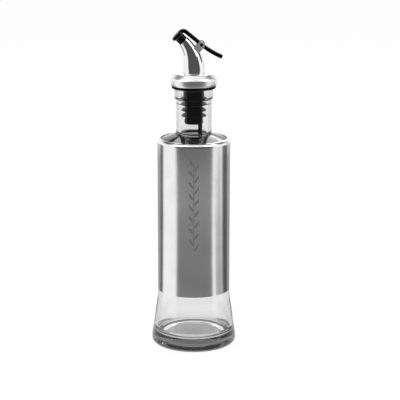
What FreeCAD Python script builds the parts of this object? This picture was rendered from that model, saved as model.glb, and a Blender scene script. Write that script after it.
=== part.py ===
import FreeCAD, Part
import math
import os

from FreeCAD import Vector

# A refillable glass oil bottle in a steel sleeve, closed by a pourer pressed into its neck.
# Millimetres, +Z up. The origin is the centre of the foot, on the surface the bottle stands on.
# The spout's mouth points towards -X, and the flap's thumb lever lies over +X.

# Bottle: a heavy foot, a flared wall, a straight body, a sloped shoulder, a neck and a lip
FOOT_RADIUS = 33.15         # of the foot's side, carried down to the standing plane
FOOT_BREAK_HEIGHT = 8.0     # where the upright foot turns into the flare
FOOT_BREAK_RADIUS = 32.35
HEEL_ROUND = 4.2
STANDING_RING_RADIUS = 27.0
PUNT_HEIGHT = 2.4           # hollow under the floor
PUNT_RADIUS = 20.0
PUNT_ROUND = 6.0
STANDING_RING_ROUND = 1.5
FLOOR_THICKNESS = 6.4       # glass between the punt and the oil
FLOOR_CROWN = 1.0           # the floor rises this much in the middle
FLOOR_CORNER_ROUND = 5.0
FLARE_HEIGHT = 43.15        # height of the shelf that the sleeve stands on
FLARE_TOP_DROP = 5.65       # the flare runs out into the body this far below the shelf
FLARE_TOP_SWELL = 0.3       # and is still this much wider than the shelf
FLARE_FOOT_ROUND = 12.0
FLARE_TOP_ROUND = 20.0
FLARE_INNER_ROUND = 30.0
BODY_WALL = 2.4
FLARE_WALL = 3.0
SHOULDER_SLOPE = 20.0       # degrees from level
SHOULDER_ROUND = 2.7
NECK_RADIUS = 13.55
NECK_BORE_RADIUS = 10.0
NECK_LENGTH = 26.3          # from the shoulder to the lip
NECK_FOOT_ROUND = 1.8
LIP_OVERHANG = 1.05
LIP_HEIGHT = 8.3
LIP_ROUND = 1.1
LIP_UNDERSIDE_ROUND = 0.7
MOUTH_CHAMFER = 0.8

# Sleeve: a steel tube that slides over the body and rolls in over the shoulder
SLEEVE_RADIUS = 27.7
SLEEVE_HEIGHT = 118.0       # up to the corner of the shoulder
SLEEVE_WALL = 0.35
SLEEVE_FIT = 0.10           # clearance between steel and glass
SLEEVE_RIM_WIDTH = 2.5      # how far the rim is rolled in

# Pourer: washer, collar and ribbed stopper
WASHER_RADIUS = 16.75
WASHER_THICKNESS = 2.2
WASHER_LIP_ROUND = 0.7      # on the side that bears on the glass
WASHER_COLLAR_ROUND = 0.4
COLLAR_RADIUS = 17.53
COLLAR_HEIGHT = 9.3
COLLAR_TOP_RADIUS = 13.9
COLLAR_FOOT_INSET = 0.5     # the foot's edge tucks in under the side
COLLAR_FOOT_HEIGHT = 1.2
COLLAR_FOOT_ROUND = 1.5
COLLAR_SHOULDER_HEIGHT = 5.4    # where the side turns into the shoulder
COLLAR_SHOULDER_ROUND = 3.6
COLLAR_TOP_SLOPE = 0.35     # drop of the top face from the spout's foot to its edge
COLLAR_TOP_ROUND = 1.2
STOPPER_BOSS_RADIUS = 7.9
STOPPER_BOSS_LENGTH = 8.2
STOPPER_CORE_RADIUS = 5.4
STOPPER_LENGTH = 27.0       # below the lip
STOPPER_FOOT_RADIUS = 7.1
STOPPER_FOOT_HEIGHT = 3.2
STOPPER_FOOT_TAPER = 1.2    # height of the cone between the foot and the core
STOPPER_EDGE_ROUND = 0.6
FIN_COUNT = 4
FIN_SPACING = 4.33
FIN_ROOT_THICKNESS = 3.0
FIN_TIP_THICKNESS = 0.8
FIN_TIP_ROUND = 0.3
FIN_FIT = 0.05              # clearance of the fins in the neck
FIRST_FIN_DEPTH = 7.6       # below the lip
VENT_TUBE_RADIUS = 1.64
VENT_TUBE_BORE_RADIUS = 0.9
VENT_TUBE_OFFSET = 4.87     # from the bottle's axis
VENT_TUBE_DROP = 10.0       # below the stopper
VENT_TUBE_SEAT = 30.0       # length held in the stopper
VENT_TUBE_FIT = 0.02

# Spout: a steel shell over a plastic core, upright at its foot and tilted at its mouth
SPOUT_OFFSET = 0.25
SPOUT_FOOT_RADIUS = 8.45
SPOUT_MOUTH_RADIUS = 4.25
SPOUT_RISE = 23.9
SPOUT_REACH = 7.95
SPOUT_TILT = 45.0           # of the mouth's axis, in degrees from upright
SPOUT_NARROWING = 1.05      # above 1 the spout keeps its width for longer as it rises
SPOUT_WALL = 0.5
SPOUT_SECTIONS = 7
CHANNEL_RADIUS = 2.2
CORE_SHANK_RADIUS = 5.0
NOZZLE_PROTRUSION = 4.6
NOZZLE_EDGE_ROUND = 0.35

# Bracket: a clevis of folded steel, welded to the spout's back
BRACKET_STATION = 0.650     # along the spout, from 0 at the foot to 1 at the mouth
PIVOT_STANDOFF = 4.32       # from the spout's back to the pivot
BRACKET_LEAN = 24.0         # of the ears, in degrees from the spout's normal
BRACKET_SHEET = 1.1
EAR_RADIUS = 2.65
EAR_GAP = 6.8               # between the ears
EAR_LENGTH = 9.5            # from the pivot, before the spout cuts the ends
WEB_HEIGHT = 3.6            # from the pivot down to the web between the ears
WEB_TRIM = 1.0              # the web stops short of the ears' outer edge
TRUNNION_RADIUS = 1.1
TRUNNION_FIT = 0.08         # running clearance of the pivot
TRUNNION_RECESS = 0.2       # of its end below the ear's face

# Flap: one moulding with a sealing cap, an arched arm, a hub and a thumb lever
LEVER_THICKNESS = 2.9
LEVER_WIDTH = 5.2
LEVER_EDGE_ROUND = 0.6
THUMB_TIP_ROUND = 0.8
ARCH_RADIUS = 3.6           # of the arm's centre line where it curls over to the cap
ARCH_ALONG_CAP = 2.9        # place of the arch's centre, up along the cap's face
ARCH_BELOW_CAP = 4.27       # and below the cap's rim
OUTER_ARCH_END = 170.0      # where the arch's outside ends in the cap, in degrees from +X
INNER_ARCH_END = 145.0      # and where its inside does
HUB_RADIUS = 2.2
HUB_SIDE_GAP = 0.3
THUMB_LENGTH = 18.4
THUMB_CURVE_RADIUS = 62.0
CAP_RADIUS = 4.95
CAP_THICKNESS = 2.4
CAP_CROWN = 0.8
CAP_EDGE_CHAMFER = 0.35
CAP_GAP = 0.3               # over the nozzle when the flap is shut

# Heights that follow from the sizes above
FLARE_TOP_HEIGHT = FLARE_HEIGHT - FLARE_TOP_DROP
SHOULDER_CORNER_HEIGHT = FLARE_HEIGHT + SLEEVE_HEIGHT
BODY_RADIUS = SLEEVE_RADIUS - SLEEVE_WALL - SLEEVE_FIT
SLOPE = math.tan(math.radians(SHOULDER_SLOPE))


def at(x, z, y=0.0):
    return Vector(x, y, z)


def rounded_outline(corners):
    """A closed outline in the XZ plane. A corner is (x, z), or (x, z, radius) where it is round."""
    edges = []
    points = [at(corner[0], corner[1]) for corner in corners]
    radii = [corner[2] if len(corner) == 3 else 0.0 for corner in corners]
    starts, ends = [], []
    for i, point in enumerate(points):
        back = (points[i - 1] - point).normalize()
        ahead = (points[(i + 1) % len(points)] - point).normalize()
        half = back.getAngle(ahead) / 2
        reach = radii[i] / math.tan(half)
        starts.append(point + back * reach)
        ends.append(point + ahead * reach)
        if radii[i] > 0:
            inwards = (back + ahead).normalize()
            middle = point + inwards * (radii[i] / math.sin(half) - radii[i])
            edges.append(Part.Arc(starts[i], middle, ends[i]).toShape())
    for i, end in enumerate(ends):
        start = starts[(i + 1) % len(points)]
        if end.distanceToPoint(start) > 1e-6:
            edges.append(Part.makeLine(end, start))
    return Part.Wire(Part.__sortEdges__(edges))


def turned(corners):
    """The solid that the outline makes when it turns about the bottle's axis."""
    return Part.Face(rounded_outline(corners)).revolve(Vector(), Vector(0, 0, 1), 360)


def across(wire, width):
    """The outline's solid, of the given width along Y, with its middle on the XZ plane."""
    face = Part.Face(wire)
    face.translate(Vector(0, -width / 2, 0))
    return face.extrude(Vector(0, width, 0))


def shoulder_height(radius, outset=0.0):
    """Height of the shoulder's slope at a radius; outset is its distance out from the steel's face."""
    slope_from_corner = (SLEEVE_RADIUS - radius) * SLOPE
    return SHOULDER_CORNER_HEIGHT + slope_from_corner + outset / math.cos(math.radians(SHOULDER_SLOPE))


NECK_FOOT_HEIGHT = shoulder_height(NECK_RADIUS, -SLEEVE_WALL - SLEEVE_FIT)
LIP_TOP_HEIGHT = NECK_FOOT_HEIGHT + NECK_LENGTH + LIP_HEIGHT
COLLAR_BASE_HEIGHT = LIP_TOP_HEIGHT + WASHER_THICKNESS
COLLAR_TOP_HEIGHT = COLLAR_BASE_HEIGHT + COLLAR_HEIGHT
STOPPER_BOTTOM_HEIGHT = LIP_TOP_HEIGHT - STOPPER_LENGTH


def glass_bottle():
    """One blown piece: the outside profile less the room for the oil."""
    lip_bottom = NECK_FOOT_HEIGHT + NECK_LENGTH
    lip_radius = NECK_RADIUS + LIP_OVERHANG
    shelf_radius = BODY_RADIUS + SLEEVE_WALL
    outside = turned([
        (0, PUNT_HEIGHT),
        (PUNT_RADIUS, PUNT_HEIGHT, PUNT_ROUND),
        (STANDING_RING_RADIUS, 0, STANDING_RING_ROUND),
        (FOOT_RADIUS, 0, HEEL_ROUND),
        (FOOT_BREAK_RADIUS, FOOT_BREAK_HEIGHT, FLARE_FOOT_ROUND),
        (shelf_radius + FLARE_TOP_SWELL, FLARE_TOP_HEIGHT, FLARE_TOP_ROUND),
        (shelf_radius, FLARE_HEIGHT),
        (BODY_RADIUS, FLARE_HEIGHT),
        (BODY_RADIUS, shoulder_height(BODY_RADIUS, -SLEEVE_WALL - SLEEVE_FIT), SHOULDER_ROUND),
        (NECK_RADIUS, NECK_FOOT_HEIGHT, NECK_FOOT_ROUND),
        (NECK_RADIUS, lip_bottom, LIP_UNDERSIDE_ROUND / 2),
        (lip_radius, lip_bottom + LIP_UNDERSIDE_ROUND / 2, LIP_UNDERSIDE_ROUND),
        (lip_radius, LIP_TOP_HEIGHT, LIP_ROUND),
        (0, LIP_TOP_HEIGHT),
    ])
    floor_height = PUNT_HEIGHT + FLOOR_THICKNESS
    inner_radius = BODY_RADIUS - BODY_WALL
    inner_foot_radius = FOOT_BREAK_RADIUS - FLARE_WALL
    shoulder_drop = -SLEEVE_WALL - SLEEVE_FIT - BODY_WALL
    above_lip = LIP_TOP_HEIGHT + 1
    room = turned([
        (0, floor_height + FLOOR_CROWN),
        (inner_foot_radius, floor_height, FLOOR_CORNER_ROUND),
        (inner_radius, FLARE_HEIGHT, FLARE_INNER_ROUND),
        (inner_radius, shoulder_height(inner_radius, shoulder_drop), SHOULDER_ROUND),
        (NECK_BORE_RADIUS, shoulder_height(NECK_BORE_RADIUS, shoulder_drop), NECK_FOOT_ROUND),
        (NECK_BORE_RADIUS, LIP_TOP_HEIGHT - MOUTH_CHAMFER),
        (NECK_BORE_RADIUS + MOUTH_CHAMFER, LIP_TOP_HEIGHT),
        (NECK_BORE_RADIUS + MOUTH_CHAMFER, above_lip),
        (0, above_lip),
    ])
    return outside.cut(room)


def steel_sleeve():
    """A thin tube that stands on the flare's shelf, with its top rolled in over the shoulder."""
    inside = SLEEVE_RADIUS - SLEEVE_WALL
    rim_edge = SLEEVE_RADIUS - SLEEVE_RIM_WIDTH
    round_inside = SHOULDER_ROUND + SLEEVE_FIT
    return turned([
        (inside, FLARE_HEIGHT),
        (SLEEVE_RADIUS, FLARE_HEIGHT),
        (SLEEVE_RADIUS, SHOULDER_CORNER_HEIGHT, round_inside + SLEEVE_WALL),
        (rim_edge, shoulder_height(rim_edge)),
        (rim_edge, shoulder_height(rim_edge, -SLEEVE_WALL)),
        (inside, shoulder_height(inside, -SLEEVE_WALL), round_inside),
    ])


def sealing_washer():
    """A rubber ring between the bottle's lip and the collar."""
    return turned([
        (STOPPER_BOSS_RADIUS, LIP_TOP_HEIGHT),
        (WASHER_RADIUS, LIP_TOP_HEIGHT, WASHER_LIP_ROUND),
        (WASHER_RADIUS, COLLAR_BASE_HEIGHT, WASHER_COLLAR_ROUND),
        (STOPPER_BOSS_RADIUS, COLLAR_BASE_HEIGHT),
    ])


def pourer_collar():
    """A spun steel cap with an upright side, a rounded shoulder and a level top round the spout."""
    ring = turned([
        (0, COLLAR_BASE_HEIGHT),
        (COLLAR_RADIUS - COLLAR_FOOT_INSET, COLLAR_BASE_HEIGHT),
        (COLLAR_RADIUS, COLLAR_BASE_HEIGHT + COLLAR_FOOT_HEIGHT, COLLAR_FOOT_ROUND),
        (COLLAR_RADIUS, COLLAR_BASE_HEIGHT + COLLAR_SHOULDER_HEIGHT, COLLAR_SHOULDER_ROUND),
        (COLLAR_TOP_RADIUS, COLLAR_TOP_HEIGHT - COLLAR_TOP_SLOPE, COLLAR_TOP_ROUND),
        (SPOUT_FOOT_RADIUS + abs(SPOUT_OFFSET), COLLAR_TOP_HEIGHT),
        (0, COLLAR_TOP_HEIGHT),
    ])
    return ring.cut(shank(CORE_SHANK_RADIUS, COLLAR_BASE_HEIGHT - 1, COLLAR_TOP_HEIGHT + 1))


def shank(radius, bottom, top, x=SPOUT_OFFSET):
    """An upright round bar between two heights."""
    return Part.makeCylinder(radius, top - bottom, at(x, bottom))


def stopper_fin(height):
    """One soft fin: thick at the core, thin at the edge that bears on the neck."""
    tip_radius = NECK_BORE_RADIUS - FIN_FIT
    return turned([
        (0, height - FIN_ROOT_THICKNESS / 2),
        (STOPPER_CORE_RADIUS, height - FIN_ROOT_THICKNESS / 2),
        (tip_radius, height - FIN_TIP_THICKNESS / 2, FIN_TIP_ROUND),
        (tip_radius, height + FIN_TIP_THICKNESS / 2, FIN_TIP_ROUND),
        (STOPPER_CORE_RADIUS, height + FIN_ROOT_THICKNESS / 2),
        (0, height + FIN_ROOT_THICKNESS / 2),
    ])


def vent_tube_bar(radius, top):
    """The vent tube's round bar, from its cut end in the bottle up to the given height."""
    return shank(radius, STOPPER_BOTTOM_HEIGHT - VENT_TUBE_DROP, top, VENT_TUBE_OFFSET)


def ribbed_stopper():
    """The plug in the neck: boss, core, foot and fins, with the pouring channel and the vent's seat."""
    foot_top = STOPPER_BOTTOM_HEIGHT + STOPPER_FOOT_HEIGHT
    boss_bottom = LIP_TOP_HEIGHT - STOPPER_BOSS_LENGTH
    plug = turned([
        (0, STOPPER_BOTTOM_HEIGHT),
        (STOPPER_FOOT_RADIUS, STOPPER_BOTTOM_HEIGHT, STOPPER_EDGE_ROUND),
        (STOPPER_FOOT_RADIUS, foot_top, STOPPER_EDGE_ROUND),
        (STOPPER_CORE_RADIUS, foot_top + STOPPER_FOOT_TAPER),
        (STOPPER_CORE_RADIUS, boss_bottom),
        (STOPPER_BOSS_RADIUS, boss_bottom, STOPPER_EDGE_ROUND),
        (STOPPER_BOSS_RADIUS, COLLAR_BASE_HEIGHT),
        (0, COLLAR_BASE_HEIGHT),
    ])
    for i in range(FIN_COUNT):
        plug = plug.fuse(stopper_fin(LIP_TOP_HEIGHT - FIRST_FIN_DEPTH - i * FIN_SPACING))
    channel = shank(CHANNEL_RADIUS, STOPPER_BOTTOM_HEIGHT - 1, COLLAR_BASE_HEIGHT + 1)
    vent_seat = vent_tube_bar(VENT_TUBE_RADIUS + VENT_TUBE_FIT, STOPPER_BOTTOM_HEIGHT + VENT_TUBE_SEAT)
    return plug.cut(channel).cut(vent_seat)


def vent_tube():
    """A plain tube that lets air into the bottle as the oil leaves."""
    top = min(STOPPER_BOTTOM_HEIGHT + VENT_TUBE_SEAT, COLLAR_BASE_HEIGHT)
    return vent_tube_bar(VENT_TUBE_RADIUS, top).cut(vent_tube_bar(VENT_TUBE_BORE_RADIUS, top))


# The spout's axis is a parabola: upright at the foot, tilted at the mouth
TILT = math.radians(SPOUT_TILT)
SPOUT_FOOT = at(SPOUT_OFFSET, COLLAR_TOP_HEIGHT)
SPOUT_MOUTH = SPOUT_FOOT + at(-SPOUT_REACH, SPOUT_RISE)
SPOUT_BEND = at(SPOUT_OFFSET, SPOUT_MOUTH.z - SPOUT_REACH / math.tan(TILT))
MOUTH_AXIS = at(-math.sin(TILT), math.cos(TILT))
MOUTH_UPWARDS = at(math.cos(TILT), math.sin(TILT))


def spout_axis(t):
    """Point and direction of the spout's axis, from t = 0 at the foot to t = 1 at the mouth."""
    point = SPOUT_FOOT * (1 - t) ** 2 + SPOUT_BEND * (2 * t * (1 - t)) + SPOUT_MOUTH * t ** 2
    direction = (SPOUT_BEND - SPOUT_FOOT) * (1 - t) + (SPOUT_MOUTH - SPOUT_BEND) * t
    return point, direction.normalize()


def spout_radius(t):
    """The steel's outside radius: it narrows most about the middle."""
    part = t ** SPOUT_NARROWING
    ease = part * part * (3 - 2 * part)
    return SPOUT_FOOT_RADIUS + (SPOUT_MOUTH_RADIUS - SPOUT_FOOT_RADIUS) * ease


def spout_loft(radius_at):
    """A smooth solid through round sections along the spout's axis."""
    sections = []
    for i in range(SPOUT_SECTIONS):
        t = i / (SPOUT_SECTIONS - 1)
        point, direction = spout_axis(t)
        sections.append(Part.Wire(Part.makeCircle(radius_at(t), point, direction)))
    return Part.makeLoft(sections, True)


def core_radius(t):
    return spout_radius(t) - SPOUT_WALL


def steel_spout():
    """The polished shell of the spout, open at the foot and the mouth."""
    return spout_loft(spout_radius).cut(spout_loft(core_radius))


def pour_core():
    """The plastic core that carries the oil, from the collar's bore to the nozzle past the mouth."""
    nozzle_radius = core_radius(1.0)
    nozzle = Part.makeCylinder(nozzle_radius, NOZZLE_PROTRUSION, SPOUT_MOUTH, MOUTH_AXIS)
    tip = SPOUT_MOUTH + MOUTH_AXIS * NOZZLE_PROTRUSION
    rims = [edge for edge in nozzle.Edges if edge.BoundBox.Center.distanceToPoint(tip) < 0.5]
    nozzle = nozzle.makeFillet(NOZZLE_EDGE_ROUND, rims)
    core = spout_loft(core_radius).fuse(nozzle)
    core = core.fuse(shank(CORE_SHANK_RADIUS, COLLAR_BASE_HEIGHT, COLLAR_TOP_HEIGHT))
    channel = spout_loft(lambda t: CHANNEL_RADIUS)
    channel = channel.fuse(Part.makeCylinder(CHANNEL_RADIUS, NOZZLE_PROTRUSION + 1, SPOUT_MOUTH, MOUTH_AXIS))
    channel = channel.fuse(shank(CHANNEL_RADIUS, COLLAR_BASE_HEIGHT - 1, COLLAR_TOP_HEIGHT))
    return core.cut(channel)


# The pivot stands off the spout's back, and the ears lean back from it to the spout
STATION_POINT, STATION_DIRECTION = spout_axis(BRACKET_STATION)
STATION_NORMAL = at(STATION_DIRECTION.z, -STATION_DIRECTION.x)
PIVOT = STATION_POINT + STATION_NORMAL * (spout_radius(BRACKET_STATION) + PIVOT_STANDOFF)


def turned_in_plane(vector, degrees):
    """The vector turned in the XZ plane, from +X towards +Z."""
    angle = math.radians(degrees)
    return at(vector.x * math.cos(angle) - vector.z * math.sin(angle),
              vector.x * math.sin(angle) + vector.z * math.cos(angle))


EAR_DOWN = turned_in_plane(STATION_NORMAL * -1, BRACKET_LEAN)
EAR_ASIDE = at(EAR_DOWN.z, -EAR_DOWN.x) * -1


def pivot_bar(radius, width):
    """A round bar on the pivot's axis, with its middle on the XZ plane."""
    return Part.makeCylinder(radius, width, PIVOT - Vector(0, width / 2, 0), Vector(0, 1, 0))


def hinge_bracket():
    """Two round-ended ears joined by a web, cut to the spout's back and bored for the pivot."""
    bottom = PIVOT + EAR_DOWN * EAR_LENGTH
    left, right = EAR_ASIDE * -EAR_RADIUS, EAR_ASIDE * EAR_RADIUS
    outline = Part.Wire([
        Part.makeLine(bottom + left, PIVOT + left),
        Part.Arc(PIVOT + left, PIVOT - EAR_DOWN * EAR_RADIUS, PIVOT + right).toShape(),
        Part.makeLine(PIVOT + right, bottom + right),
        Part.makeLine(bottom + right, bottom + left),
    ])
    outer_width = EAR_GAP + 2 * BRACKET_SHEET
    web_top = PIVOT + EAR_DOWN * WEB_HEIGHT
    web_end = EAR_ASIDE * (EAR_RADIUS - WEB_TRIM)
    web_outline = Part.makePolygon([
        web_top + left, web_top + web_end,
        web_top + web_end + EAR_DOWN * 2 * BRACKET_SHEET, web_top + left + EAR_DOWN * 2 * BRACKET_SHEET,
        web_top + left,
    ])
    ears = across(outline, outer_width).cut(across(outline, EAR_GAP))
    bracket = ears.fuse(across(web_outline, outer_width)).cut(spout_loft(spout_radius))
    return bracket.cut(pivot_bar(TRUNNION_RADIUS + TRUNNION_FIT, outer_width + 2)).removeSplitter()


def flap_ribbon():
    """The flap's arm and thumb lever: one ribbon that curls over into the cap, runs straight
    over the pivot and bends up gently to the thumb's end."""
    half = LEVER_THICKNESS / 2
    cap_rim_centre = SPOUT_MOUTH + MOUTH_AXIS * (NOZZLE_PROTRUSION + CAP_GAP + CAP_THICKNESS)
    arch_centre = cap_rim_centre - MOUTH_AXIS * ARCH_BELOW_CAP + MOUTH_UPWARDS * ARCH_ALONG_CAP
    to_arch = arch_centre - PIVOT
    tangent_turn = math.degrees(math.asin(ARCH_RADIUS / to_arch.Length))
    along = turned_in_plane(to_arch.normalize(), -tangent_turn)
    normal = at(along.z, -along.x)
    arch_start = math.degrees(math.atan2(normal.z, normal.x))
    thumb_centre = PIVOT + normal * THUMB_CURVE_RADIUS
    thumb_turn = math.degrees(THUMB_LENGTH / THUMB_CURVE_RADIUS)

    def on_arch(radius, degrees):
        return arch_centre + turned_in_plane(at(1, 0), degrees) * radius

    def on_thumb(radius, part):
        return thumb_centre + turned_in_plane(normal * -1, thumb_turn * part) * radius

    def arch_arc(radius, first, last):
        middle = on_arch(radius, (first + last) / 2)
        return Part.Arc(on_arch(radius, first), middle, on_arch(radius, last)).toShape()

    def thumb_arc(radius):
        return Part.Arc(on_thumb(radius, 0), on_thumb(radius, 0.5), on_thumb(radius, 1)).toShape()

    upper, lower = THUMB_CURVE_RADIUS - half, THUMB_CURVE_RADIUS + half
    outer_arch, inner_arch = ARCH_RADIUS + half, ARCH_RADIUS - half
    return Part.Wire(Part.__sortEdges__([
        Part.makeLine(on_thumb(upper, 1), on_thumb(lower, 1)),
        thumb_arc(upper),
        Part.makeLine(on_thumb(upper, 0), on_arch(outer_arch, arch_start)),
        arch_arc(outer_arch, arch_start, OUTER_ARCH_END),
        Part.makeLine(on_arch(outer_arch, OUTER_ARCH_END), on_arch(inner_arch, INNER_ARCH_END)),
        arch_arc(inner_arch, arch_start, INNER_ARCH_END),
        Part.makeLine(on_arch(inner_arch, arch_start), on_thumb(lower, 0)),
        thumb_arc(lower),
    ]))


def flap_cap():
    """The crowned disc that closes the nozzle."""
    base = SPOUT_MOUTH + MOUTH_AXIS * (NOZZLE_PROTRUSION + CAP_GAP)
    top = CAP_THICKNESS + CAP_CROWN
    ball_radius = (CAP_RADIUS ** 2 + CAP_CROWN ** 2) / (2 * CAP_CROWN)
    halfway = CAP_RADIUS / 2
    halfway_height = top - ball_radius + math.sqrt(ball_radius ** 2 - halfway ** 2)
    profile = Part.Wire([
        Part.makeLine(at(0, 0), at(CAP_RADIUS - CAP_EDGE_CHAMFER, 0)),
        Part.makeLine(at(CAP_RADIUS - CAP_EDGE_CHAMFER, 0), at(CAP_RADIUS, CAP_EDGE_CHAMFER)),
        Part.makeLine(at(CAP_RADIUS, CAP_EDGE_CHAMFER), at(CAP_RADIUS, CAP_THICKNESS)),
        Part.Arc(at(CAP_RADIUS, CAP_THICKNESS), at(halfway, halfway_height), at(0, top)).toShape(),
        Part.makeLine(at(0, top), at(0, 0)),
    ])
    cap = Part.Face(profile).revolve(Vector(), Vector(0, 0, 1), 360)
    cap.Placement = FreeCAD.Placement(base, FreeCAD.Rotation(Vector(0, 0, 1), MOUTH_AXIS))
    return cap


def flap():
    """Cap, ribbon, hub and trunnions as one moulding."""
    cap = flap_cap()
    ribbon = across(flap_ribbon(), LEVER_WIDTH)
    cross_edges = [edge for edge in ribbon.Edges if edge.BoundBox.YLength > LEVER_WIDTH / 2]
    tip_edges = sorted(cross_edges, key=lambda edge: edge.BoundBox.XMax)[-2:]
    ribbon = ribbon.makeFillet(THUMB_TIP_ROUND, tip_edges)
    flank_edges = [edge for edge in ribbon.Edges if edge.BoundBox.YLength < LEVER_WIDTH / 2
                   and not cap.isInside(edge.CenterOfMass, 0.01, False)]
    ribbon = ribbon.makeFillet(LEVER_EDGE_ROUND, flank_edges)
    hub = pivot_bar(HUB_RADIUS, EAR_GAP - 2 * HUB_SIDE_GAP)
    trunnions = pivot_bar(TRUNNION_RADIUS, EAR_GAP + 2 * (BRACKET_SHEET - TRUNNION_RECESS))
    return ribbon.fuse(hub.fuse(trunnions)).fuse(cap)


def main():
    os.makedirs("parts", exist_ok=True)
    parts = {
        "glass_bottle": glass_bottle(),
        "steel_sleeve": steel_sleeve(),
        "sealing_washer": sealing_washer(),
        "pourer_collar": pourer_collar(),
        "ribbed_stopper": ribbed_stopper(),
        "vent_tube": vent_tube(),
        "steel_spout": steel_spout(),
        "pour_core": pour_core(),
        "hinge_bracket": hinge_bracket(),
        "flap_lever": flap(),
    }
    for name, shape in parts.items():
        box = shape.BoundBox
        print(f"{name}: solids {len(shape.Solids)}, valid {shape.isValid()}, volume {shape.Volume:.1f} mm3, "
              f"x {box.XMin:.2f}..{box.XMax:.2f}, z {box.ZMin:.2f}..{box.ZMax:.2f}")
        shape.exportStep(f"parts/{name}.step")
    print(f"pivot x {PIVOT.x:.3f}, z {PIVOT.z:.3f}")


main()
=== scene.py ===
import math
import bpy
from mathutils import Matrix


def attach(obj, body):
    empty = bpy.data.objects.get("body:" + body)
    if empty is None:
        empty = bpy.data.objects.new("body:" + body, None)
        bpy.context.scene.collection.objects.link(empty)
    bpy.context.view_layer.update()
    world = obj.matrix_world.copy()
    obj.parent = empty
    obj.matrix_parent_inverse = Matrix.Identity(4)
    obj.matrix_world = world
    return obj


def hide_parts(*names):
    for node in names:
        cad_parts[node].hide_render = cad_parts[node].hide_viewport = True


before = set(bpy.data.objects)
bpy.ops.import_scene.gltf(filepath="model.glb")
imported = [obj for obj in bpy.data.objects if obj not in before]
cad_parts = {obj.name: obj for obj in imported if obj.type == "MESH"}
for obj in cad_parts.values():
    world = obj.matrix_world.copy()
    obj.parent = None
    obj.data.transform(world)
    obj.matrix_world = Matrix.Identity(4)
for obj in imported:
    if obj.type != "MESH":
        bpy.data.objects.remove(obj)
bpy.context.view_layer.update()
bpy.ops.object.select_all(action="DESELECT")
scene = bpy.context.scene
scene.view_settings.view_transform = "Standard"


# ---- Camera --------------------------------------------------------------------------------------
# It stands a little over a metre in front of the bottle and higher than its flap, and looks down
# at the sleeve through a long lens. The bottle stands a little left of the middle of the view.
CAMERA_PLACE = (0.0, -1.150, 0.388)
LOOKS_DOWN = math.radians(13.438)
LENS_MM = 138.29
FILM_WIDTH_MM = 36.0
NEAREST_SEEN = 0.05
SHIFT_ASIDE = 0.0156        # as a share of the film's width
camera_data = bpy.data.cameras.new("camera")
camera_data.lens = LENS_MM
camera_data.sensor_width = FILM_WIDTH_MM
camera_data.clip_start = NEAREST_SEEN
camera_data.shift_x = SHIFT_ASIDE
camera = bpy.data.objects.new("camera", camera_data)
camera.location = CAMERA_PLACE
camera.rotation_euler = (math.radians(90.0) - LOOKS_DOWN, 0.0, 0.0)
scene.collection.objects.link(camera)
scene.camera = camera


# ---- Table, room and lamps -----------------------------------------------------------------------
# A pale table top in a white room, with soft lamps overhead. Grey and dark cloths lie on the
# table and hang round the room. The camera doesn't see them: they are there to give polished
# steel and thick glass their light and dark bands.
def new_material(name):
    """A material with an empty node tree and its output node."""
    material = bpy.data.materials.new(name)
    material.use_nodes = True
    material.node_tree.nodes.clear()
    output = material.node_tree.nodes.new("ShaderNodeOutputMaterial")
    return material, material.node_tree, output


def add_node(tree, kind, values=None, **settings):
    """A node of the tree with its settings. values gives its sockets a number, or another
    node's output to read."""
    node = tree.nodes.new(kind)
    for name, value in settings.items():
        setattr(node, name, value)
    for socket, value in (values or {}).items():
        if hasattr(value, "is_output"):
            tree.links.new(value, node.inputs[socket])
        else:
            node.inputs[socket].default_value = value
    return node


def calculate(tree, operation, *values):
    """One step of arithmetic on numbers and other nodes' outputs."""
    return add_node(tree, "ShaderNodeMath", dict(enumerate(values)), operation=operation).outputs[0]


def calculate_vector(tree, operation, *values):
    """The node of one step of arithmetic on vectors."""
    return add_node(tree, "ShaderNodeVectorMath", dict(enumerate(values)), operation=operation)


def seen_directly(tree):
    """1 for the camera and for what polished steel or clear glass shows, 0 for soft light."""
    path = add_node(tree, "ShaderNodeLightPath").outputs
    mirrored = calculate(tree, "MAXIMUM", path["Is Camera Ray"], path["Is Glossy Ray"])
    return calculate(tree, "MAXIMUM", mirrored, path["Is Transmission Ray"])


WHITE_LIGHT = (1, 1, 1, 1)
TABLE_WHITE = (0.90, 0.90, 0.90, 1.0)
TABLE_SHOWN_WHITE = 0.96    # the rest is lit, and takes the bottle's shadow
TABLE_SIZE = 12.0
table_paint, tree, output = new_material("table_paint")
lit = add_node(tree, "ShaderNodeBsdfDiffuse", {"Color": TABLE_WHITE})
shown = add_node(tree, "ShaderNodeEmission", {"Color": WHITE_LIGHT, "Strength": 1.0})
share = calculate(tree, "MULTIPLY", seen_directly(tree), TABLE_SHOWN_WHITE)
mixed = add_node(tree, "ShaderNodeMixShader", {0: share, 1: lit.outputs[0], 2: shown.outputs[0]})
tree.links.new(mixed.outputs[0], output.inputs["Surface"])
bpy.ops.mesh.primitive_plane_add(size=TABLE_SIZE, location=(0.0, 0.0, 0.0))
table = bpy.context.active_object
table.name = "table_top"
table.data.materials.append(table_paint)

CLOTH_FACET = 5             # degrees of direction that one facet of a cloth spans


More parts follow.
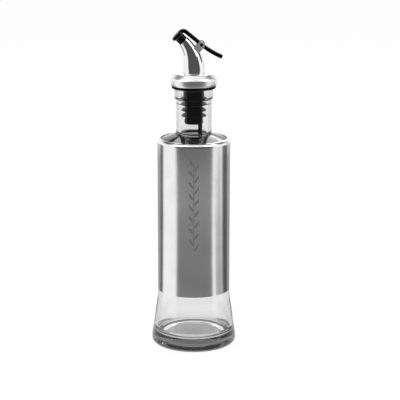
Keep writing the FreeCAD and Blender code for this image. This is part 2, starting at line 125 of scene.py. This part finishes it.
def cloth(name, first, last, rims, grey, mirrored=True, refracted=False):
    """A stage sheet between two rims, each a radius and a height, and between two directions in
    degrees from the camera's side towards +X. grey is one grey, or the greys near the bottle and
    farther off, with the two radii between which the one turns into the other. The sheet shows
    only in what steel and glass mirror, in what glass refracts, or in both."""
    paint, tree, output = new_material(name)
    if isinstance(grey, tuple):
        near, far, near_radius, far_radius = grey
        place = add_node(tree, "ShaderNodeTexCoord").outputs["Object"]
        level = calculate_vector(tree, "MULTIPLY", place, (1.0, 1.0, 0.0)).outputs[0]
        radius = calculate_vector(tree, "LENGTH", level).outputs["Value"]
        grey = add_node(tree, "ShaderNodeMapRange", {
            "Value": radius, "From Min": near_radius, "From Max": far_radius,
            "To Min": near, "To Max": far}).outputs[0]
    shine = add_node(tree, "ShaderNodeEmission", {"Color": WHITE_LIGHT, "Strength": grey})
    tree.links.new(shine.outputs[0], output.inputs["Surface"])
    steps = max(2, int(abs(last - first) / CLOTH_FACET))
    directions = [math.radians(first + (last - first) * i / steps) for i in range(steps + 1)]
    points = [(math.sin(a) * radius, -math.cos(a) * radius, height) for radius, height in rims
              for a in directions]
    facets = [(i, steps + 1 + i, steps + 2 + i, i + 1) for i in range(steps)]
    mesh = bpy.data.meshes.new(name)
    mesh.from_pydata(points, [], facets)
    mesh.materials.append(paint)
    sheet = bpy.data.objects.new(name, mesh)
    scene.collection.objects.link(sheet)
    sheet.visible_camera = False
    sheet.visible_diffuse = False
    sheet.visible_shadow = False
    sheet.visible_glossy = mirrored
    sheet.visible_transmission = refracted


# What the steel mirrors. The dark cloths in front and overhead are seen through the glass too
LOW = 0.0005                # height of a cloth that lies on the table
NEAR_RIMS = ((0.09, LOW), (0.70, LOW))
NECK_RIMS = ((0.70, LOW), (0.83, LOW))
FAR_RIMS = ((0.83, LOW), (4.0, LOW))
SIDE_RIMS = ((0.09, LOW), (0.82, LOW))
DARK_SIDE_RIMS = ((0.09, LOW), (1.4, LOW))
WALL_RIMS = ((4.0, 0.0), (4.0, 3.6))
CEILING_RIMS = ((3.5, 2.1), (0.4, 2.4))
cloth("front_cloth", -53.5, 59.0, NEAR_RIMS, (0.20, 0.46, 0.36, 0.68))
cloth("neck_cloth", -57.0, 62.0, NECK_RIMS, 0.012, refracted=True)
cloth("far_cloth", -57.0, 62.0, FAR_RIMS, 0.085, refracted=True)
cloth("dark_wall", -62.0, 66.0, WALL_RIMS, 0.085, refracted=True)
cloth("dark_ceiling", 95.0, 265.0, CEILING_RIMS, 0.09, refracted=True)
cloth("right_cloth_1", 71.0, 78.0, SIDE_RIMS, (0.40, 0.72, 0.25, 0.60))
cloth("right_cloth_2", 78.0, 82.0, SIDE_RIMS, (0.55, 0.88, 0.25, 0.60))
cloth("right_cloth_3", 82.0, 90.0, SIDE_RIMS, (0.34, 0.45, 0.25, 0.60))
cloth("right_cloth_4", 90.0, 101.0, SIDE_RIMS, (0.52, 0.80, 0.25, 0.60))
cloth("right_dark_cloth", 101.0, 130.0, DARK_SIDE_RIMS, 0.085)
cloth("right_back_cloth", 130.0, 180.0, SIDE_RIMS, 0.36)
cloth("left_back_cloth", -180.0, -130.0, SIDE_RIMS, 0.36)
cloth("left_dark_cloth", -130.0, -112.0, DARK_SIDE_RIMS, 0.09)
cloth("right_rail", 128.0, 140.0, WALL_RIMS, 0.36)

# Painted shadow of the foot on the table, under it and just in front of it, and a dark rail far
# round the room: seen through the glass alone
FOOT_RIMS = ((0.0, LOW), (0.033, LOW))
FOOT_FRONT_RIMS = ((0.033, LOW), (0.055, LOW))
RAIL_RIMS = ((3.5, 0.5), (3.5, 1.8))
cloth("foot_shade", -180.0, 180.0, FOOT_RIMS, (0.76, 0.08, 0.021, 0.029),
      mirrored=False, refracted=True)
cloth("front_foot_shade", -100.0, 100.0, FOOT_FRONT_RIMS, 0.10, mirrored=False, refracted=True)
cloth("dark_rail", -180.0, 180.0, RAIL_RIMS, 0.07, mirrored=False, refracted=True)

ROOM_LIGHT = 0.62           # of the soft light; the camera, steel and glass see a white room
room = bpy.data.worlds.new("white_room")
room.use_nodes = True
tree = room.node_tree
tree.nodes.clear()
room_output = add_node(tree, "ShaderNodeOutputWorld")
white_seen = calculate(tree, "MULTIPLY_ADD", seen_directly(tree), 1.0 - ROOM_LIGHT, ROOM_LIGHT)
walls = add_node(tree, "ShaderNodeBackground", {"Color": WHITE_LIGHT, "Strength": white_seen})
tree.links.new(walls.outputs[0], room_output.inputs["Surface"])
scene.world = room

LAMPS = [                   # name, place, width in metres, watts
    ("lamp_left", (-0.9, -0.5, 1.3), 0.9, 7.0),
    ("lamp_right", (1.0, -0.3, 1.2), 0.8, 5.0),
    ("lamp_back", (0.1, 1.2, 1.1), 0.9, 5.0),
]
LAMPS_AIM = 0.12            # height on the bottle's axis that they shine at
for name, place, width, power in LAMPS:
    lamp_data = bpy.data.lights.new(name, "AREA")
    lamp_data.size = width
    lamp_data.energy = power
    lamp = bpy.data.objects.new(name, lamp_data)
    lamp.location = place
    direction = -lamp.location
    direction.z += LAMPS_AIM
    lamp.rotation_euler = direction.to_track_quat("-Z", "Y").to_euler()
    scene.collection.objects.link(lamp)


# ---- Glass bottle --------------------------------------------------------------------------------
# One thick piece of clear soda glass with a heavy flared foot, blown in a mould. Its surface is
# fire polished, and keeps the faint waviness and the streaks of moulded glass.
WAVE_SCALE = 55.0           # waves per metre
WAVE_STRENGTH = 0.04
WAVE_HEIGHT = 0.0004
STREAK_SHADES = (0.985, 1.0)
GLASS_IOR = 1.52
GLASS_DENSITY = 28.0        # per metre: thick glass is darker than thin
glass_material, tree, output = new_material("clear_glass")
place = add_node(tree, "ShaderNodeTexCoord").outputs["Object"]
waviness = add_node(tree, "ShaderNodeTexNoise", {"Vector": place, "Scale": WAVE_SCALE,
                                                 "Detail": 1.0}).outputs["Fac"]
ripple = add_node(tree, "ShaderNodeBump", {"Height": waviness, "Strength": WAVE_STRENGTH,
                                           "Distance": WAVE_HEIGHT})
tint = add_node(tree, "ShaderNodeMapRange", {"Value": waviness, "To Min": STREAK_SHADES[0],
                                             "To Max": STREAK_SHADES[1]}).outputs[0]
colour = add_node(tree, "ShaderNodeCombineColor", {"Red": tint, "Green": tint, "Blue": tint})
glass = add_node(tree, "ShaderNodeBsdfPrincipled", {
    "Base Color": colour.outputs[0], "Roughness": 0.0, "IOR": GLASS_IOR,
    "Transmission Weight": 1.0, "Normal": ripple.outputs[0]})
tree.links.new(glass.outputs[0], output.inputs["Surface"])
depth = add_node(tree, "ShaderNodeVolumeAbsorption", {"Color": (0.0, 0.0, 0.0, 1),
                                                      "Density": GLASS_DENSITY})
tree.links.new(depth.outputs[0], output.inputs["Volume"])


def dress(node_name, material):
    """The CAD node keeps its shape and shows the given material."""
    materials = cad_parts[node_name].data.materials
    materials.clear()
    materials.append(material)


dress("glass_bottle", glass_material)


# ---- Steel sleeve --------------------------------------------------------------------------------
# A thin drawn tube of stainless steel that slips over the glass and is rolled in at the shoulder.
# Its outside is satin polished round and round and etched with a plain twig of leaves; its inside
# is rougher, and painted dark grey as painted shade for the little light that reaches it.
def new_group(name, inputs, outputs):
    """A shader node group with named sockets, with its input and output nodes. inputs gives each
    name a number or a vector to start from, and outputs gives each name a kind of socket."""
    group = bpy.data.node_groups.new(name, "ShaderNodeTree")
    for label, start in inputs.items():
        kind = "NodeSocketVector" if isinstance(start, tuple) else "NodeSocketFloat"
        socket = group.interface.new_socket(label, in_out="INPUT", socket_type=kind)
        socket.default_value = start
    for label, kind in outputs.items():
        group.interface.new_socket(label, in_out="OUTPUT", socket_type=kind)
    given = group.nodes.new("NodeGroupInput").outputs
    result = group.nodes.new("NodeGroupOutput").inputs
    return group, given, result


def place_group(tree, group, values):
    """The group's node in a material, with the values that this material gives it."""
    node = tree.nodes.new("ShaderNodeGroup")
    node.node_tree = group
    for socket, value in values.items():
        node.inputs[socket].default_value = value
    return node


def spread_about(tree, noise, middle, spread):
    """The noise, which lies about 0.5, made to lie about the middle value."""
    centred = calculate(tree, "SUBTRACT", noise, 0.5)
    doubled = calculate(tree, "MULTIPLY", centred, 2.0)
    return calculate(tree, "MULTIPLY_ADD", doubled, spread, middle)


FINISH_OUTPUTS = {"Colour": "NodeSocketColor", "Roughness": "NodeSocketFloat",
                  "Height": "NodeSocketFloat"}

# Polishing lines and faint clouds of a steel surface
CLOUD_SCALE = 48.0          # clouds per metre
polish_group, given, result = new_group(
    "polished_steel_finish",
    {"Grain": (300.0, 300.0, 2500.0), "Shade": 0.86, "Shade Spread": 0.03, "Roughness": 0.2,
     "Roughness Spread": 0.03},
    FINISH_OUTPUTS)
place = add_node(polish_group, "ShaderNodeTexCoord").outputs["Object"]
stretched = calculate_vector(polish_group, "MULTIPLY", place, given["Grain"]).outputs[0]
lines = add_node(polish_group, "ShaderNodeTexNoise", {"Vector": stretched, "Scale": 1.0,
                                                      "Detail": 3.0}).outputs["Fac"]
clouds = add_node(polish_group, "ShaderNodeTexNoise", {"Vector": place, "Scale": CLOUD_SCALE,
                                                       "Detail": 2.0}).outputs["Fac"]
grey = spread_about(polish_group, clouds, given["Shade"], given["Shade Spread"])
colour = add_node(polish_group, "ShaderNodeCombineColor", {"Red": grey, "Green": grey,
                                                           "Blue": grey})
both = add_node(polish_group, "ShaderNodeMix", {0: 0.5, 2: lines, 3: clouds}).outputs[0]
roughness = spread_about(polish_group, both, given["Roughness"], given["Roughness Spread"])
polish_group.links.new(colour.outputs[0], result["Colour"])
polish_group.links.new(roughness, result["Roughness"])
polish_group.links.new(lines, result["Height"])

# The etched twig: a stem up the front, with a leaf on either side in turn
ETCH_FOOT = 0.079           # height of the twig's lower end
ETCH_LENGTH = 0.0682
LEAF_PITCH = 0.0088         # up the twig, from one leaf to the next on the same side
LEAF_LENGTH = 0.0066
LEAF_WIDTH = 0.0017
LEAF_LEAN = math.radians(32.0)      # of the leaf from the twig
LEAF_FOOT = (0.0004, 0.0008)        # out from the twig's middle, and up in its pitch
STEM_HALF_WIDTH = 0.0003
sleeve_material, tree, output = new_material("satin_sleeve_steel")
place = add_node(tree, "ShaderNodeTexCoord").outputs
across_up = add_node(tree, "ShaderNodeSeparateXYZ", {0: place["Object"]}).outputs
on_left = calculate(tree, "LESS_THAN", across_up["X"], 0.0)
up_twig = calculate(tree, "SUBTRACT", across_up["Z"], ETCH_FOOT)
shifted = calculate(tree, "MULTIPLY_ADD", on_left, -LEAF_PITCH / 2, up_twig)
up_leaf = calculate(tree, "MODULO", shifted, LEAF_PITCH)
out_leaf = calculate(tree, "ABSOLUTE", across_up["X"])
leaf_place = add_node(tree, "ShaderNodeCombineXYZ", {"X": out_leaf, "Y": up_leaf})
middle_out = LEAF_FOOT[0] + math.sin(LEAF_LEAN) * LEAF_LENGTH / 2
middle_up = LEAF_FOOT[1] + math.cos(LEAF_LEAN) * LEAF_LENGTH / 2
turned_leaf = add_node(tree, "ShaderNodeMapping", {
    "Vector": leaf_place.outputs[0],
    "Rotation": (0, 0, LEAF_LEAN),
    "Location": (-(middle_out * math.cos(LEAF_LEAN) - middle_up * math.sin(LEAF_LEAN)),
                 -(middle_out * math.sin(LEAF_LEAN) + middle_up * math.cos(LEAF_LEAN)), 0)})
in_leaf = add_node(tree, "ShaderNodeSeparateXYZ", {0: turned_leaf.outputs[0]}).outputs
half_lengths = calculate(tree, "DIVIDE", in_leaf["Y"], LEAF_LENGTH / 2)
narrowing = calculate(tree, "POWER", calculate(tree, "ABSOLUTE", half_lengths), 2.0)
leaf_edge = calculate(tree, "MULTIPLY_ADD", narrowing, -LEAF_WIDTH / 2, LEAF_WIDTH / 2)
leaf = calculate(tree, "GREATER_THAN", leaf_edge, calculate(tree, "ABSOLUTE", in_leaf["X"]))
stem = calculate(tree, "LESS_THAN", out_leaf, STEM_HALF_WIDTH)
drawn = calculate(tree, "MAXIMUM", leaf, stem)
above_foot = calculate(tree, "GREATER_THAN", shifted, 0.0)
below_tip = calculate(tree, "LESS_THAN", shifted, ETCH_LENGTH)
in_front = calculate(tree, "LESS_THAN", across_up["Y"], 0.0)
on_twig = calculate(tree, "MULTIPLY", calculate(tree, "MULTIPLY", above_foot, below_tip), in_front)
etched = calculate(tree, "MULTIPLY", drawn, on_twig)

# The inside is where the surface faces the bottle's axis; it takes the painted shade
level = calculate_vector(tree, "MULTIPLY", place["Object"], (1, 1, 0)).outputs[0]
outwards = calculate_vector(tree, "NORMALIZE", level).outputs[0]
out_and_up = calculate_vector(tree, "ADD", outwards, (0, 0, 1)).outputs[0]
facing = calculate_vector(tree, "DOT_PRODUCT", out_and_up, place["Normal"]).outputs["Value"]
inside = calculate(tree, "LESS_THAN", facing, 0.0)

ETCHED_GREY = (0.60, 0.60, 0.60, 1)
# Painted shade: the steel colour of the sleeve's inside, darkened for the shade that falls there
INSIDE_PAINTED_SHADE = (0.10, 0.10, 0.10, 1)
DULLER = 0.22               # added to the roughness of the etched lines and of the inside
finish = place_group(tree, polish_group, {
    "Grain": (300.0, 300.0, 2500.0), "Shade": 0.86, "Shade Spread": 0.12, "Roughness": 0.20,
    "Roughness Spread": 0.05}).outputs
with_twig = add_node(tree, "ShaderNodeMix", {0: etched, 6: finish["Colour"], 7: ETCHED_GREY},
                     data_type="RGBA")
# The inside's painted shade laid over the twig and the polished colour
with_inside_shade = add_node(tree, "ShaderNodeMix", {0: inside, 6: with_twig.outputs[2],
                                               7: INSIDE_PAINTED_SHADE}, data_type="RGBA")
roughness = calculate(tree, "MULTIPLY_ADD", calculate(tree, "MAXIMUM", etched, inside), DULLER,
                      finish["Roughness"])
relief = add_node(tree, "ShaderNodeBump", {"Height": finish["Height"], "Strength": 0.03,
                                           "Distance": 0.0001})
steel = add_node(tree, "ShaderNodeBsdfPrincipled", {
    "Base Color": with_inside_shade.outputs[2], "Metallic": 1.0, "Roughness": roughness,
    "Normal": relief.outputs[0]})
tree.links.new(steel.outputs[0], output.inputs["Surface"])
dress("steel_sleeve", sleeve_material)


# ---- Stopper -------------------------------------------------------------------------------------
# A plug of soft black rubber, moulded in one piece round the pouring channel and the vent tube.
# It is pressed into the neck: its upper fins bear on the glass all round and bend up a little.
MM = 0.001
STOPPER_RINGS = [           # radius and height in millimetres, up the outside
    (2.2, 173.42), (6.4, 173.42), (7.0, 173.9), (7.1, 174.6), (7.1, 176.3), (6.9, 177.0),
    (6.5, 178.1), (8.9, 179.2), (9.5, 179.6), (9.5, 180.1), (8.9, 180.5), (6.5, 181.6),
    (6.5, 182.4), (8.9, 183.5), (9.5, 183.9), (9.5, 184.4), (8.9, 184.8), (6.5, 185.9),
    (6.5, 186.7), (8.9, 187.9), (10.04, 188.5), (10.04, 189.1), (8.9, 189.1), (6.7, 190.1),
    (6.7, 190.9), (8.9, 192.1), (10.04, 192.8), (10.04, 193.5), (8.9, 193.5), (7.9, 194.0),
    (7.9, 202.62), (2.2, 202.62),
]
ROUND_SEGMENTS = 64
EDGE_ROUND = 0.12           # millimetres that the mould's edges are rounded by
ROUNDED_OVER = math.radians(30.0)
SMOOTH_UNDER = math.radians(40.0)


def turned_piece(name, rings, segments):
    """A piece turned about the bottle's axis. A ring of points is drawn out from each radius and
    height to the next, and the last ring closes on the first."""
    radius, height = rings[0]
    bpy.ops.object.select_all(action="DESELECT")
    bpy.ops.mesh.primitive_circle_add(vertices=segments, radius=radius * MM,
                                      location=(0, 0, height * MM))
    piece = bpy.context.active_object
    piece.name = name
    bpy.ops.object.transform_apply(location=True, rotation=False, scale=False)
    bpy.ops.object.mode_set(mode="EDIT")
    bpy.ops.mesh.select_all(action="SELECT")
    for next_radius, next_height in rings[1:] + rings[:1]:
        rise = (next_height - height) * MM
        bpy.ops.mesh.extrude_edges_move(TRANSFORM_OT_translate={"value": (0, 0, rise)})
        grow = next_radius / radius
        bpy.ops.transform.resize(value=(grow, grow, 1), center_override=(0, 0, next_height * MM))
        radius, height = next_radius, next_height
    bpy.ops.mesh.select_all(action="SELECT")
    bpy.ops.mesh.remove_doubles(threshold=0.001 * MM)
    bpy.ops.mesh.normals_make_consistent(inside=False)
    bpy.ops.object.mode_set(mode="OBJECT")
    return piece


# The fine unevenness of a moulded skin, with faint patches of dust bloom
BLOOM_SCALE = 120.0         # patches of bloom per metre
skin_group, given, result = new_group(
    "moulded_skin", {"Grain": 900.0, "Shade": 0.004, "Roughness": 0.4, "Roughness Spread": 0.05},
    FINISH_OUTPUTS)
place = add_node(skin_group, "ShaderNodeTexCoord").outputs["Object"]
skin = add_node(skin_group, "ShaderNodeTexNoise", {"Vector": place, "Scale": given["Grain"],
                                                   "Detail": 2.0}).outputs["Fac"]
bloom = add_node(skin_group, "ShaderNodeTexNoise", {"Vector": place, "Scale": BLOOM_SCALE,
                                                    "Detail": 3.0}).outputs["Fac"]
shade = calculate(skin_group, "MULTIPLY", calculate(skin_group, "MULTIPLY", bloom, 2.0),
                  given["Shade"])
colour = add_node(skin_group, "ShaderNodeCombineColor", {"Red": shade, "Green": shade,
                                                         "Blue": shade})
roughness = spread_about(skin_group, skin, given["Roughness"], given["Roughness Spread"])
skin_group.links.new(colour.outputs[0], result["Colour"])
skin_group.links.new(roughness, result["Roughness"])
skin_group.links.new(skin, result["Height"])


def black_moulding(name, grain, shade, roughness, spread, specular, relief_strength):
    """A black rubber or plastic with the moulded skin."""
    material, tree, output = new_material(name)
    finish = place_group(tree, skin_group, {"Grain": grain, "Shade": shade,
                                            "Roughness": roughness,
                                            "Roughness Spread": spread}).outputs
    relief = add_node(tree, "ShaderNodeBump", {"Height": finish["Height"],
                                               "Strength": relief_strength, "Distance": 0.0001})
    body = add_node(tree, "ShaderNodeBsdfPrincipled", {
        "Base Color": finish["Colour"], "Roughness": finish["Roughness"],
        "Specular IOR Level": specular, "Normal": relief.outputs[0]})
    tree.links.new(body.outputs[0], output.inputs["Surface"])
    return material


rubber = black_moulding("black_rubber_skin", grain=700.0, shade=0.003, roughness=0.50,
                        spread=0.06, specular=0.04, relief_strength=0.06)
stopper = turned_piece("ribbed_rubber_stopper", STOPPER_RINGS, ROUND_SEGMENTS)
edges = stopper.modifiers.new("rounded_edges", "BEVEL")
edges.width = EDGE_ROUND * MM
edges.segments = 2
edges.limit_method = "ANGLE"
edges.angle_limit = ROUNDED_OVER
bpy.ops.object.modifier_apply(modifier=edges.name)
bpy.ops.object.shade_smooth_by_angle(angle=SMOOTH_UNDER)
stopper.data.materials.append(rubber)
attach(stopper, "bottle")
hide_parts("ribbed_stopper")


# ---- Sealing washer ------------------------------------------------------------------------------
# A ring of the same black rubber as the stopper. The collar presses it down on the glass lip, and
# it keeps the oil in when the bottle lies on its side.
dress("sealing_washer", rubber)


# ---- Vent tube -----------------------------------------------------------------------------------
# A thin black plastic tube, pushed into its hole in the stopper. It lets air into the bottle
# behind the oil, and is cut off square.
plastic = black_moulding("black_moulded_plastic", grain=500.0, shade=0.0025, roughness=0.16,
                         spread=0.04, specular=0.12, relief_strength=0.03)
dress("vent_tube", plastic)


# ---- Collar --------------------------------------------------------------------------------------
# A cap of stainless steel, spun to shape and polished on the lathe. It hides the washer and carries
# the spout, and its polish keeps very fine rings.
def polished_steel(name, grain, shade, roughness, spread, relief_strength):
    """Bare steel with the polished finish."""
    material, tree, output = new_material(name)
    finish = place_group(tree, polish_group, {"Grain": grain, "Shade": shade,
                                              "Roughness": roughness,
                                              "Roughness Spread": spread}).outputs
    relief = add_node(tree, "ShaderNodeBump", {"Height": finish["Height"],
                                               "Strength": relief_strength, "Distance": 0.0001})
    steel = add_node(tree, "ShaderNodeBsdfPrincipled", {
        "Base Color": finish["Colour"], "Metallic": 1.0, "Roughness": finish["Roughness"],
        "Normal": relief.outputs[0]})
    tree.links.new(steel.outputs[0], output.inputs["Surface"])
    return material


dress("pourer_collar", polished_steel(
    "polished_collar_steel", grain=(200.0, 200.0, 3000.0), shade=0.90, roughness=0.34,
    spread=0.02, relief_strength=0.01))


# ---- Spout ---------------------------------------------------------------------------------------
# A bent steel shell, drawn narrower towards its mouth and welded to the collar. It is polished
# lengthwise.
dress("steel_spout", polished_steel(
    "polished_spout_steel", grain=(900.0, 900.0, 200.0), shade=0.88, roughness=0.09,
    spread=0.02, relief_strength=0.01))


# ---- Pouring core --------------------------------------------------------------------------------
# The black plastic liner inside the spout, that the oil runs through. It is moulded with its
# nozzle, which stands out of the steel and meets the flap's cap.
dress("pour_core", plastic)


# ---- Hinge bracket -------------------------------------------------------------------------------
# Two ears and a web, folded from one piece of steel sheet and welded to the spout's back. It is
# tumbled dull, not polished.
dress("hinge_bracket", polished_steel(
    "tumbled_bracket_steel", grain=(500.0, 500.0, 500.0), shade=0.95, roughness=0.48,
    spread=0.06, relief_strength=0.04))


# ---- Flap ----------------------------------------------------------------------------------------
# One glossy black moulding: the cap on the nozzle, the arched arm, the hub with its two trunnions
# and the thumb lever. It snaps between the bracket's ears and swings on them.
dress("flap_lever", plastic)
